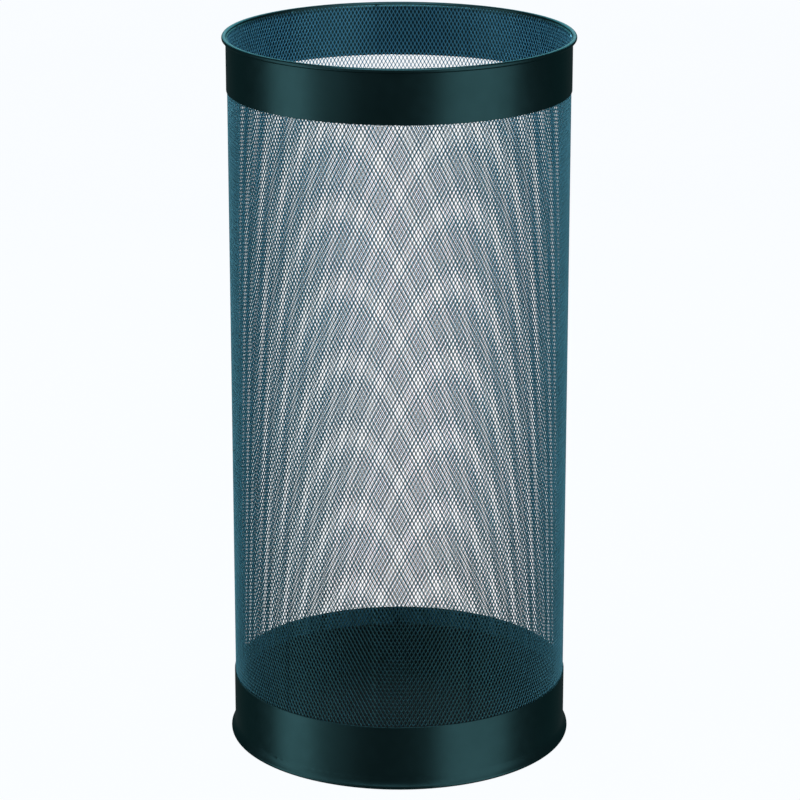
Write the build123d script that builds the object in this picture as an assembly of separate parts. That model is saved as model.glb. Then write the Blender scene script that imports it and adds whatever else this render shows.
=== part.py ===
from build123d import *
import math
import os

# Umbrella stand, in millimetres. +Z is up and the origin is on the floor, on the stand's axis.
# A sleeve of steel mesh is held between a top band and a bottom band, both wrapped round its
# outside. The outer edge of each band is curled round a wire. The top band's curl stands out as
# a bead, and the bottom band flares smoothly out over its own. A pan closes the bottom, four pads
# carry it, and a drip tray lies loose in it.

# ---- Driving dimensions ----
overall_height = 500.0
band_outer_radius = 116.8
sheet_thickness = 0.6
top_band_lower_edge = 462.4
bottom_band_upper_edge = 45.8

# Wired edges
wire_thickness = 2.0
wire_slack = 0.05
curl_gap = 0.3
foot_flare_height = 7.0

# Mesh sleeve and the strip that joins its two edges, which is on the +X side
mesh_thickness = 0.45
assembly_slack = 0.05
seam_strip_width = 8.0

# Base pan and the pads under it
pad_height = 5.0
pad_drop = 0.8
pad_top_radius = 8.0
pad_face_radius = 7.0
pad_edge_radius = 0.6
pad_circle_radius = 98.0
pad_count = 4
pan_thickness = 0.8
pan_flange_height = 12.0
pan_corner_radius = 2.5

# Drip tray
tray_height = 28.0
tray_thickness = 1.6
tray_floor_radius = 106.0
tray_mouth_radius = 109.5
tray_lip_radius = 112.5
tray_corner_radius = 5.0

# ---- Sizes worked out from them ----
band_inner_radius = band_outer_radius - sheet_thickness
bead_thickness = wire_thickness + 2 * (wire_slack + sheet_thickness)
bead_radius = band_inner_radius + bead_thickness / 2
rim_bead_height = overall_height - bead_thickness / 2
foot_bead_height = pad_drop + bead_thickness / 2
flare_start = foot_bead_height + foot_flare_height

mesh_outer_radius = band_inner_radius - assembly_slack
mesh_inner_radius = mesh_outer_radius - mesh_thickness
mesh_lower_edge = foot_bead_height + bead_thickness / 2
mesh_upper_edge = rim_bead_height

pan_radius = mesh_inner_radius - assembly_slack
pan_floor = pad_height + pan_thickness
pan_upper_edge = pad_height + pan_flange_height


# ---- Sections: x is the distance from the stand's axis, y is the height ----
def bar_section(inner, outer, low, high):
    return Pos(inner, low) * Rectangle(outer - inner, high - low, align=(Align.MIN, Align.MIN))


def bowl_section(floor_radius, mouth_radius, low, high, corner_radius):
    """Half section of a solid bowl, from the axis out to its rounded lower corner."""
    outline = Polygon((0, low), (floor_radius, low), (mouth_radius, high), (0, high), align=None)
    lower_corner = outline.vertices().sort_by_distance((floor_radius, low, 0))[0]
    return fillet(lower_corner, corner_radius)


def turned(section, degrees=360):
    """Turns a section round the stand's axis, centred on the +X side if it isn't a full turn."""
    return Rot(0, 0, -degrees / 2) * revolve(Plane.XZ * section, Axis.Z, degrees)


# ---- Pieces ----
def plain_edge(height):
    """Rounded free edge of a band's sheet, centred at the given height."""
    return Pos(band_inner_radius + sheet_thickness / 2, height) * Circle(sheet_thickness / 2)


def curl(bead_height):
    """Sheet curled all the way round an edge wire."""
    return Pos(bead_radius, bead_height) * (
        Circle(bead_thickness / 2) - Circle(wire_thickness / 2 + wire_slack)
    )


def top_band():
    """Plain lower edge, and an upper edge curled outwards with its gap on the outside."""
    wall_end = top_band_lower_edge + sheet_thickness / 2
    wall = bar_section(band_inner_radius, band_outer_radius, wall_end, rim_bead_height)
    channel = Pos(bead_radius, rim_bead_height) * Circle(wire_thickness / 2 + wire_slack)
    gap = bar_section(
        band_outer_radius,
        band_outer_radius + curl_gap,
        rim_bead_height - bead_thickness * 0.6,
        rim_bead_height - wire_thickness * 0.4,
    )
    return turned(plain_edge(wall_end) + wall - channel + curl(rim_bead_height) - gap)


def bottom_band():
    """Plain upper edge, and a lower edge that flares out over the wire and curls back inside."""
    wall_end = bottom_band_upper_edge - sheet_thickness / 2
    wall = bar_section(band_inner_radius, band_outer_radius, flare_start, wall_end)

    # The flare is an arc that starts upright at the wall and runs smoothly into the curl.
    sheet_middle = band_inner_radius + sheet_thickness / 2
    curl_radius = (bead_thickness - sheet_thickness) / 2
    flare_radius = foot_flare_height**2 / (4 * curl_radius)
    flare_centre = Vector(sheet_middle + flare_radius, flare_start)
    towards_wire = Vector(bead_radius, foot_bead_height) - flare_centre
    wedge_reach = 1.3 * flare_radius
    wall_side = flare_centre - Vector(wedge_reach, 0)
    wire_side = flare_centre + towards_wire.normalized() * wedge_reach
    wedge = Polygon(
        (flare_centre.X, flare_centre.Y),
        (wall_side.X, wall_side.Y),
        (wire_side.X, wire_side.Y),
        align=None,
    )
    half_sheet = sheet_thickness / 2
    arc = Circle(flare_radius + half_sheet) - Circle(flare_radius - half_sheet)
    flare = (Pos(flare_centre.X, flare_centre.Y) * arc) & wedge

    gap = bar_section(
        band_inner_radius + sheet_thickness,
        band_inner_radius + sheet_thickness + curl_gap,
        foot_bead_height,
        foot_bead_height + bead_thickness / 2,
    )
    return turned(plain_edge(wall_end) + wall + (curl(foot_bead_height) - gap) + flare)


def edge_wire(height):
    return turned(Pos(bead_radius, height) * Circle(wire_thickness / 2))


def mesh_sleeve():
    """The mesh is one thin closed tube: its openings are too fine to be cut one by one."""
    return turned(
        bar_section(mesh_inner_radius, mesh_outer_radius, mesh_lower_edge, mesh_upper_edge)
    )


def seam_strip():
    """Narrow strip welded inside the sleeve, over the line where the mesh's two edges meet."""
    outer = mesh_inner_radius - assembly_slack
    section = bar_section(
        outer - sheet_thickness, outer, pan_upper_edge + bead_thickness, mesh_upper_edge
    )
    return turned(section, math.degrees(seam_strip_width / outer))


def base_pan():
    """Pressed disc with an upturned flange, which is welded through the mesh to the band."""
    outside = bowl_section(pan_radius, pan_radius, pad_height, pan_upper_edge, pan_corner_radius)
    inner_radius = pan_radius - pan_thickness
    inside = bowl_section(
        inner_radius, inner_radius, pan_floor, pan_upper_edge, pan_corner_radius - pan_thickness
    )
    return turned(outside - inside)


def drip_tray():
    """Loose moulded dish with sloping sides and a flat lip to lift it by."""
    tray_top = pan_floor + tray_height
    tray_floor = pan_floor + tray_thickness
    outside = bowl_section(
        tray_floor_radius, tray_mouth_radius, pan_floor, tray_top, tray_corner_radius
    )
    inside = bowl_section(
        tray_floor_radius - tray_thickness,
        tray_mouth_radius - tray_thickness,
        tray_floor,
        tray_top,
        tray_corner_radius - tray_thickness,
    )
    lip = bar_section(
        tray_mouth_radius - tray_thickness, tray_lip_radius, tray_top - tray_thickness, tray_top
    )
    return turned(outside - inside + lip)


def floor_pad(number):
    """Rubber pad glued under the pan. It reaches a little lower than the foot bead."""
    pad = Cone(
        pad_face_radius, pad_top_radius, pad_height, align=(Align.CENTER, Align.CENTER, Align.MIN)
    )
    rounded = fillet(pad.edges().sort_by(Axis.Z)[0], pad_edge_radius)
    angle = 360 / pad_count * (number + 0.5)
    return Rot(0, 0, angle) * Pos(pad_circle_radius, 0, 0) * rounded


nodes = {
    "top_band": top_band(),
    "rim_wire": edge_wire(rim_bead_height),
    "mesh_sleeve": mesh_sleeve(),
    "seam_strip": seam_strip(),
    "bottom_band": bottom_band(),
    "foot_wire": edge_wire(foot_bead_height),
    "base_pan": base_pan(),
    "drip_tray": drip_tray(),
}
for number in range(pad_count):
    nodes[f"floor_pad_{number + 1}"] = floor_pad(number)

os.makedirs("parts", exist_ok=True)
for name, piece in nodes.items():
    export_step(piece, f"parts/{name}.step")
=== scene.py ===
import math

import bpy
import numpy as np
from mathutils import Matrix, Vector

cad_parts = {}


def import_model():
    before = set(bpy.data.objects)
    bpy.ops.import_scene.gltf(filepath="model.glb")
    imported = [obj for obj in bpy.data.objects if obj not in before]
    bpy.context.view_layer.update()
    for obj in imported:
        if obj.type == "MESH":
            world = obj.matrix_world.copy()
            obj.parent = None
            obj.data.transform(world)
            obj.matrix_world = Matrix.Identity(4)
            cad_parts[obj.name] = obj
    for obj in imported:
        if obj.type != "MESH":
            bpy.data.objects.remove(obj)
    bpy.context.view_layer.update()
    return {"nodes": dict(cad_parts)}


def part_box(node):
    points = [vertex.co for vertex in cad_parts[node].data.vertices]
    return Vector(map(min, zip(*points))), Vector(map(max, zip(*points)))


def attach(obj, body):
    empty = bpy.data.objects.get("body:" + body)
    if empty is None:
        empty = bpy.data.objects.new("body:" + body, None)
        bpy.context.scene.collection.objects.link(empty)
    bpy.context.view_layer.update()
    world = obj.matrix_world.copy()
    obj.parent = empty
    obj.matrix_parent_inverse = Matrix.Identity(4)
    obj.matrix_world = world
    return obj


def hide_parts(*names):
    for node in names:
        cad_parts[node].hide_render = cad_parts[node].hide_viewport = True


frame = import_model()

# Umbrella stand, in metres. The solid pieces are the CAD model's own. What is added is the mesh
# sleeve with all its openings, the materials of every piece, and a plain studio.

# ---- Mesh sleeve ----
COLUMNS = 264                  # openings in one row round the sleeve
OPENING_PITCH = 0.00515        # average height from one opening to the next in its column
STRETCH = 0.018                # openings are taller by this share at the foot, and shorter at the rim
OPEN_SHARE = 0.810             # opening's width and height over the cell's
BOND_SHARE = 0.14              # half height of an opening's straight side over the cell's
SLEEVE_THICKNESS = 0.00045
SECTORS = 11                   # the sleeve is made as this many pieces of moderate size

# ---- Camera ----
CAMERA_PLACE = Vector((0.0, -2.235, 0.930))
AIM = Vector((0.0005, 0.0, 0.2424))     # what lies in the middle of the view
LENS = 151.6            # millimetres, as the film's width is
SENSOR = 36.0

# ---- Looks ----
ORANGE_PEEL = 0.00001                   # depth of the ripple in the enamel
ENAMEL_SHEEN = (0.50, 0.72, 0.72, 1.0)  # colour of the enamel's reflections
BACKDROP = (0.950, 0.975, 1.0)          # pale blue behind the stand
FILL_LIGHT = 0.085                      # even light from all round
FLOOR_HALF_WIDTH = 30.0


# ---- Shader helpers ----
def new_material(name):
    material = bpy.data.materials.new(name)
    material.use_nodes = True
    return material, material.node_tree


def add_node(tree, kind, **sockets):
    """Adds a node and sets its sockets, given by name with spaces as underscores."""
    node = tree.nodes.new(kind)
    for name, value in sockets.items():
        node.inputs[name.replace("_", " ")].default_value = value
    return node


def noise(tree, scale, detail=2.0):
    """Noise in metres: scale is how many features there are in a metre."""
    place = tree.nodes.new("ShaderNodeTexCoord")
    texture = add_node(tree, "ShaderNodeTexNoise", Scale=scale, Detail=detail, Roughness=0.5)
    tree.links.new(place.outputs["Object"], texture.inputs["Vector"])
    return texture.outputs["Fac"]


def spread(tree, value, low, high):
    """Maps the middle of a noise's range, 0.3 to 0.7, to low to high."""
    ranged = tree.nodes.new("ShaderNodeMapRange")
    ranged.inputs["From Min"].default_value = 0.3
    ranged.inputs["From Max"].default_value = 0.7
    ranged.inputs["To Min"].default_value = low
    ranged.inputs["To Max"].default_value = high
    tree.links.new(value, ranged.inputs["Value"])
    return ranged.outputs["Result"]


def two_tones(tree, value, first, second):
    """Colour that wanders between two tones."""
    ramp = tree.nodes.new("ShaderNodeValToRGB")
    ramp.color_ramp.elements[0].position = 0.35
    ramp.color_ramp.elements[0].color = (*first, 1.0)
    ramp.color_ramp.elements[1].position = 0.65
    ramp.color_ramp.elements[1].color = (*second, 1.0)
    tree.links.new(value, ramp.inputs["Fac"])
    return ramp.outputs["Color"]


def bump(tree, height, distance):
    node = add_node(tree, "ShaderNodeBump", Strength=1.0, Distance=distance)
    tree.links.new(height, node.inputs["Height"])
    return node.outputs["Normal"]


# ---- Materials ----
def enamel(name, dark, light, metallic, smoothest, roughest):
    """Semi-gloss metallic enamel on steel: faint cloudiness in tone, and orange peel."""
    material, tree = new_material(name)
    shader = tree.nodes["Principled BSDF"]
    shader.inputs["Metallic"].default_value = metallic
    shader.inputs["Specular Tint"].default_value = ENAMEL_SHEEN
    clouds = noise(tree, 22.0, detail=3.0)
    tree.links.new(two_tones(tree, clouds, dark, light), shader.inputs["Base Color"])
    tree.links.new(
        spread(tree, noise(tree, 140.0, detail=3.0), smoothest, roughest),
        shader.inputs["Roughness"],
    )
    tree.links.new(bump(tree, noise(tree, 900.0), ORANGE_PEEL), shader.inputs["Normal"])
    return material


def drawn_wire():
    """Galvanised wire with a faint mottled tone and a fine grain."""
    material, tree = new_material("drawn_wire")
    shader = tree.nodes["Principled BSDF"]
    shader.inputs["Metallic"].default_value = 1.0
    tone = two_tones(tree, noise(tree, 300.0), (0.36, 0.37, 0.38), (0.50, 0.51, 0.53))
    tree.links.new(tone, shader.inputs["Base Color"])
    tree.links.new(spread(tree, noise(tree, 700.0), 0.30, 0.48), shader.inputs["Roughness"])
    tree.links.new(bump(tree, noise(tree, 2500.0), 0.00002), shader.inputs["Normal"])
    return material


def moulded_plastic():
    """Dark green polypropylene with a fine spark-eroded grain."""
    material, tree = new_material("moulded_plastic")
    shader = tree.nodes["Principled BSDF"]
    tone = two_tones(tree, noise(tree, 60.0), (0.002, 0.008, 0.009), (0.003, 0.010, 0.012))
    tree.links.new(tone, shader.inputs["Base Color"])
    tree.links.new(spread(tree, noise(tree, 250.0), 0.72, 0.84), shader.inputs["Roughness"])
    shader.inputs["Specular IOR Level"].default_value = 0.1
    tree.links.new(
        bump(tree, noise(tree, 1800.0, detail=3.0), 0.00006), shader.inputs["Normal"]
    )
    return material


def rubber():
    """Matt black rubber, slightly mottled and dusty."""
    material, tree = new_material("rubber")
    shader = tree.nodes["Principled BSDF"]
    tone = two_tones(tree, noise(tree, 400.0), (0.012, 0.012, 0.012), (0.022, 0.021, 0.020))
    tree.links.new(tone, shader.inputs["Base Color"])
    tree.links.new(spread(tree, noise(tree, 500.0), 0.75, 0.9), shader.inputs["Roughness"])
    tree.links.new(bump(tree, noise(tree, 1500.0), 0.00005), shader.inputs["Normal"])
    return material


band_enamel = enamel(
    "band_enamel",
    dark=(0.028, 0.080, 0.088),
    light=(0.032, 0.090, 0.100),
    metallic=1.0,
    smoothest=0.30,
    roughest=0.36,
)
mesh_enamel = enamel(
    "mesh_enamel",
    dark=(0.036, 0.106, 0.112),
    light=(0.041, 0.120, 0.127),
    metallic=1.0,
    smoothest=0.38,
    roughest=0.46,
)
# Painted light: the sleeve's inner faces get a much lighter, bluer copy of the mesh enamel, in place
# of light that the lamps don't bring to them.
inner_mesh_painted_light = enamel(
    "inner_mesh_painted_light",
    dark=(0.150, 0.490, 0.700),
    light=(0.172, 0.550, 0.790),
    metallic=0.9,
    smoothest=0.40,
    roughest=0.50,
)
# Painted highlight: the walls of the openings get a light blue copy of the mesh enamel, standing in
# for backlight glinting on them.
cut_edge_painted_highlight = enamel(
    "cut_edge_painted_highlight",
    dark=(0.150, 0.480, 0.630),
    light=(0.170, 0.540, 0.710),
    metallic=0.9,
    smoothest=0.40,
    roughest=0.50,
)
materials_of_nodes = {
    "top_band": band_enamel,
    "bottom_band": band_enamel,
    "base_pan": band_enamel,
    # The seam strip takes the same painted light, the lighter copy of the mesh enamel.
    "seam_strip": inner_mesh_painted_light,
    "rim_wire": drawn_wire(),
    "drip_tray": moulded_plastic(),
    "floor_pad_1": rubber(),
}
materials_of_nodes["foot_wire"] = materials_of_nodes["rim_wire"]
for number in (2, 3, 4):
    materials_of_nodes[f"floor_pad_{number}"] = materials_of_nodes["floor_pad_1"]
for node, material in materials_of_nodes.items():
    frame["nodes"][node].material_slots[0].material = material


# ---- Mesh sleeve ----
# The sleeve is a lattice of diamond cells, each with a six-sided opening. Cells are counted in
# half pitches: i goes round the sleeve and j goes up it, and a cell is centred wherever i + j is
# even. Its four corners are where i + j is odd, in the middle of the bonds between the openings.
sleeve_low, sleeve_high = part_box("mesh_sleeve")
outer_radius = (sleeve_high.x - sleeve_low.x) / 2
sleeve_height = sleeve_high.z - sleeve_low.z
half_rows = round(sleeve_height / (OPENING_PITCH / 2))
column_step = math.pi / COLUMNS

side = OPEN_SHARE * (1 - BOND_SHARE)
opening_outline = (
    (0.0, OPEN_SHARE),
    (side, BOND_SHARE),
    (side, -BOND_SHARE),
    (0.0, -OPEN_SHARE),
    (-side, -BOND_SHARE),
    (-side, BOND_SHARE),
)


def on_sleeve(i, j, radius):
    """Points of the sleeve at lattice places i and j, counted from the seam on the +X side."""
    angle = i * column_step
    way_up = j / half_rows
    height = sleeve_height * (way_up + STRETCH * way_up * (1 - way_up))
    return np.stack(
        (radius * np.cos(angle), radius * np.sin(angle), sleeve_low.z + height), axis=-1
    )


def mesh_object(name, points, faces, smooth, slots, materials):
    """Object from points and a list of arrays of faces, each with its own number of corners.

    smooth says for each array whether its faces are shaded as one rounded surface, and slots
    which of the materials they have."""
    corners = np.concatenate([group.ravel() for group in faces])
    counts = np.concatenate([np.full(len(group), group.shape[1]) for group in faces])
    rounded = np.concatenate([np.full(len(g), shade) for g, shade in zip(faces, smooth)])
    slot_of_face = np.concatenate([np.full(len(g), slot) for g, slot in zip(faces, slots)])
    mesh = bpy.data.meshes.new(name)
    mesh.vertices.add(len(points))
    mesh.vertices.foreach_set("co", points.astype(np.float32).ravel())
    mesh.loops.add(len(corners))
    mesh.loops.foreach_set("vertex_index", corners.astype(np.int32))
    mesh.polygons.add(len(counts))
    mesh.polygons.foreach_set("loop_start", (np.cumsum(counts) - counts).astype(np.int32))
    mesh.polygons.foreach_set("loop_total", counts.astype(np.int32))
    mesh.polygons.foreach_set("use_smooth", rounded)
    mesh.polygons.foreach_set("material_index", slot_of_face.astype(np.int32))
    mesh.update(calc_edges=True)
    mesh.validate()
    for material in materials:
        mesh.materials.append(material)
    made = bpy.data.objects.new(name, mesh)
    bpy.context.scene.collection.objects.link(made)
    return made


def sleeve_sector(name, first, last):
    """The part of the sleeve whose cells are centred from column first up to, not with, last."""
    columns = np.arange(first - 1, last + 1)
    grid_i, grid_j = np.meshgrid(columns, np.arange(half_rows + 1), indexing="ij")
    cell_i, cell_j = np.meshgrid(np.arange(first, last), np.arange(half_rows + 1), indexing="ij")
    is_cell = (cell_i + cell_j) % 2 == 0
    cell_i, cell_j = cell_i[is_cell], cell_j[is_cell]
    at_end = (cell_j == 0) | (cell_j == half_rows)
    open_i, open_j = cell_i[~at_end], cell_j[~at_end]

    inner_radius = outer_radius - SLEEVE_THICKNESS
    grid_size = grid_i.size
    outline = np.array(opening_outline)
    rim_i = open_i[:, None] + outline[None, :, 0]
    rim_j = open_j[:, None] + outline[None, :, 1]
    points = np.concatenate(
        [
            on_sleeve(grid_i.ravel(), grid_j.ravel(), outer_radius),
            on_sleeve(grid_i.ravel(), grid_j.ravel(), inner_radius),
            on_sleeve(rim_i.ravel(), rim_j.ravel(), outer_radius),
            on_sleeve(rim_i.ravel(), rim_j.ravel(), inner_radius),
        ]
    )

    def corner(i, j, layer):
        return layer * grid_size + (i - columns[0]) * (half_rows + 1) + j

    def rim(k, layer):
        start = 2 * grid_size + layer * rim_i.size
        return start + np.arange(len(open_i)) * len(outline) + k % len(outline)

    quads, triangles = ([], []), ([], [])
    end_cells, opening_walls, end_walls = [], [], []
    for layer in (0, 1):
        turn = 1 if layer == 0 else -1
        top = corner(open_i, open_j + 1, layer)
        right = corner(open_i + 1, open_j, layer)
        bottom = corner(open_i, open_j - 1, layer)
        left = corner(open_i - 1, open_j, layer)
        for ring in (
            (right, top, rim(0, layer), rim(1, layer)),
            (bottom, right, rim(2, layer), rim(3, layer)),
            (left, bottom, rim(3, layer), rim(4, layer)),
            (top, left, rim(5, layer), rim(6, layer)),
        ):
            quads[layer].append(np.stack(ring[::turn], axis=1))
        for ring in ((right, rim(1, layer), rim(2, layer)), (left, rim(4, layer), rim(5, layer))):
            triangles[layer].append(np.stack(ring[::turn], axis=1))

        # Half cells at the two ends are solid, which leaves a straight cut edge.
        for end, inward in ((0, 1), (half_rows, -1)):
            i = cell_i[cell_j == end]
            peak = corner(i, end + inward, layer)
            ring = (corner(i - 1, end, layer), corner(i + 1, end, layer), peak)
            end_cells.append(np.stack(ring[:: turn * inward], axis=1))

    for k in range(len(outline)):
        opening_walls.append(
            np.stack((rim(k, 0), rim(k, 1), rim(k + 1, 1), rim(k + 1, 0)), axis=1)
        )

    def wall(start, end):
        """Closes the gap between the two layers along edges from start to end."""
        end_walls.append(
            np.stack((corner(*start, 0), corner(*start, 1), corner(*end, 1), corner(*end, 0)), 1)
        )

    low_i, high_i = cell_i[cell_j == 0], cell_i[cell_j == half_rows]
    wall((low_i - 1, 0), (low_i + 1, 0))
    wall((high_i + 1, half_rows), (high_i - 1, half_rows))
    for column, outward in ((first, -1), (last - 1, 1)):
        j = cell_j[cell_i == column]
        below, above = j[j > 0], j[j < half_rows]
        edges = (
            ((column, below - 1), (column + outward, below)),
            ((column + outward, above), (column, above + 1)),
        )
        for start, end in edges:
            wall(*((start, end) if outward > 0 else (end, start)))

    groups = (*quads, *triangles, opening_walls, end_cells, end_walls)
    faces = [np.concatenate(group) for group in groups]
    used = np.unique(np.concatenate([group.ravel() for group in faces]))
    renumbered = np.zeros(len(points), int)
    renumbered[used] = np.arange(len(used))
    faces = [renumbered[group] for group in faces]
    # Outer faces, the solid half cells at the ends and the end walls take the mesh enamel. The inner
    # faces take its lighter copy, which is painted light, and the opening walls a light blue copy,
    # which is a painted highlight.
    return mesh_object(
        name,
        points[used],
        faces,
        smooth=(True, True, True, True, True, True, False),
        slots=(0, 1, 0, 1, 2, 0, 0),
        materials=(mesh_enamel, inner_mesh_painted_light, cut_edge_painted_highlight),
    )


sector_edges = [2 * COLUMNS * number // SECTORS for number in range(SECTORS + 1)]
for number in range(SECTORS):
    sector = sleeve_sector(
        f"mesh_sleeve_part_{number + 1:02d}", sector_edges[number], sector_edges[number + 1]
    )
    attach(sector, "stand")
    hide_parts("mesh_sleeve")


# ---- Studio ----
def around_stand(azimuth, distance, height):
    """Place round the stand's axis. Azimuth 0 is at the camera, and positive to its right."""
    turn = math.radians(azimuth)
    return Vector((distance * math.sin(turn), -distance * math.cos(turn), height))


def area_light(name, place, aim_height, width, height, power, tint=(1, 1, 1)):
    """Soft panel that faces the stand's axis at the given height."""
    light = bpy.data.lights.new(name, "AREA")
    light.shape = "RECTANGLE"
    light.size, light.size_y = width, height
    light.energy = power
    light.color = tint
    lamp = bpy.data.objects.new(name, light)
    lamp.location = place
    lamp.rotation_euler = (place - Vector((0, 0, aim_height))).to_track_quat("Z", "Y").to_euler()
    lamp.visible_camera = False
    bpy.context.scene.collection.objects.link(lamp)


def floor():
    """Wide pale floor, self-lit, so that it stays an even bluish white out to the horizon.

    It takes no shadow or mirror image of the stand, and gives it no light."""
    material, tree = new_material("studio_floor")
    shader = tree.nodes["Principled BSDF"]
    tone = two_tones(tree, noise(tree, 3.0), (0.948, 0.974, 0.998), (0.952, 0.976, 1.000))
    tree.links.new(tone, shader.inputs["Emission Color"])
    shader.inputs["Emission Strength"].default_value = 1.0
    shader.inputs["Base Color"].default_value = (0.02, 0.02, 0.02, 1.0)
    shader.inputs["Roughness"].default_value = 0.9
    shader.inputs["Specular IOR Level"].default_value = 0.0
    half = FLOOR_HALF_WIDTH
    corners = np.array(((-half, -half, 0), (half, -half, 0), (half, half, 0), (-half, half, 0)))
    square = [np.array([[0, 1, 2, 3]])]
    made = mesh_object("studio_floor", corners, square, (False,), (0,), (material,))
    made.visible_glossy = False
    made.visible_diffuse = False
    made.visible_shadow = False


def world():
    """The floor's tone where the camera looks past it, and a dim even fill for all else."""
    made = bpy.data.worlds.new("studio")
    made.use_nodes = True
    tree = made.node_tree
    fill = tree.nodes["Background"]
    fill.inputs["Color"].default_value = (FILL_LIGHT, FILL_LIGHT, FILL_LIGHT, 1.0)
    backdrop = add_node(tree, "ShaderNodeBackground", Color=(*BACKDROP, 1.0))
    rays = tree.nodes.new("ShaderNodeLightPath")
    mix = tree.nodes.new("ShaderNodeMixShader")
    tree.links.new(rays.outputs["Is Camera Ray"], mix.inputs["Fac"])
    tree.links.new(fill.outputs["Background"], mix.inputs[1])
    tree.links.new(backdrop.outputs["Background"], mix.inputs[2])
    tree.links.new(mix.outputs["Shader"], tree.nodes["World Output"].inputs["Surface"])
    bpy.context.scene.world = made


def camera():
    """Plain camera, looking down at the stand. It has no shift and no parent, so the other views
    are of the same kind as this one."""
    data = bpy.data.cameras.new("camera")
    data.sensor_width = SENSOR
    data.lens = LENS
    made = bpy.data.objects.new("camera", data)
    bpy.context.scene.collection.objects.link(made)
    made.location = CAMERA_PLACE
    made.rotation_mode = "QUATERNION"
    made.rotation_quaternion = (AIM - CAMERA_PLACE).to_track_quat("-Z", "Y")
    bpy.context.scene.camera = made


floor()
world()
area_light(
    "left_panel",
    around_stand(-74, 1.2, 0.1),
    aim_height=0.1,
    width=0.66,
    height=2.4,
    power=4.7,
)
area_light(
    "left_fill",
    around_stand(-45, 1.3, 0.1),
    aim_height=0.1,
    width=0.60,
    height=2.4,
    power=0.8,
)
area_light(
    "right_panel",
    around_stand(52, 1.2, 0.1),
    aim_height=0.1,
    width=1.12,
    height=2.4,
    power=6.5,
)
area_light(
    "back_panel",
    around_stand(180, 1.6, 1.35),
    aim_height=1.35,
    width=2.00,
    height=1.3,
    power=17.0,
    tint=(0.75, 0.89, 1.0),
)
area_light(
    "top_panel",
    around_stand(0, 0.5, 1.6),
    aim_height=0.5,
    width=1.20,
    height=1.0,
    power=8.0,
    tint=(0.85, 0.93, 1.0),
)
camera()
bpy.context.scene.view_settings.view_transform = "Standard"
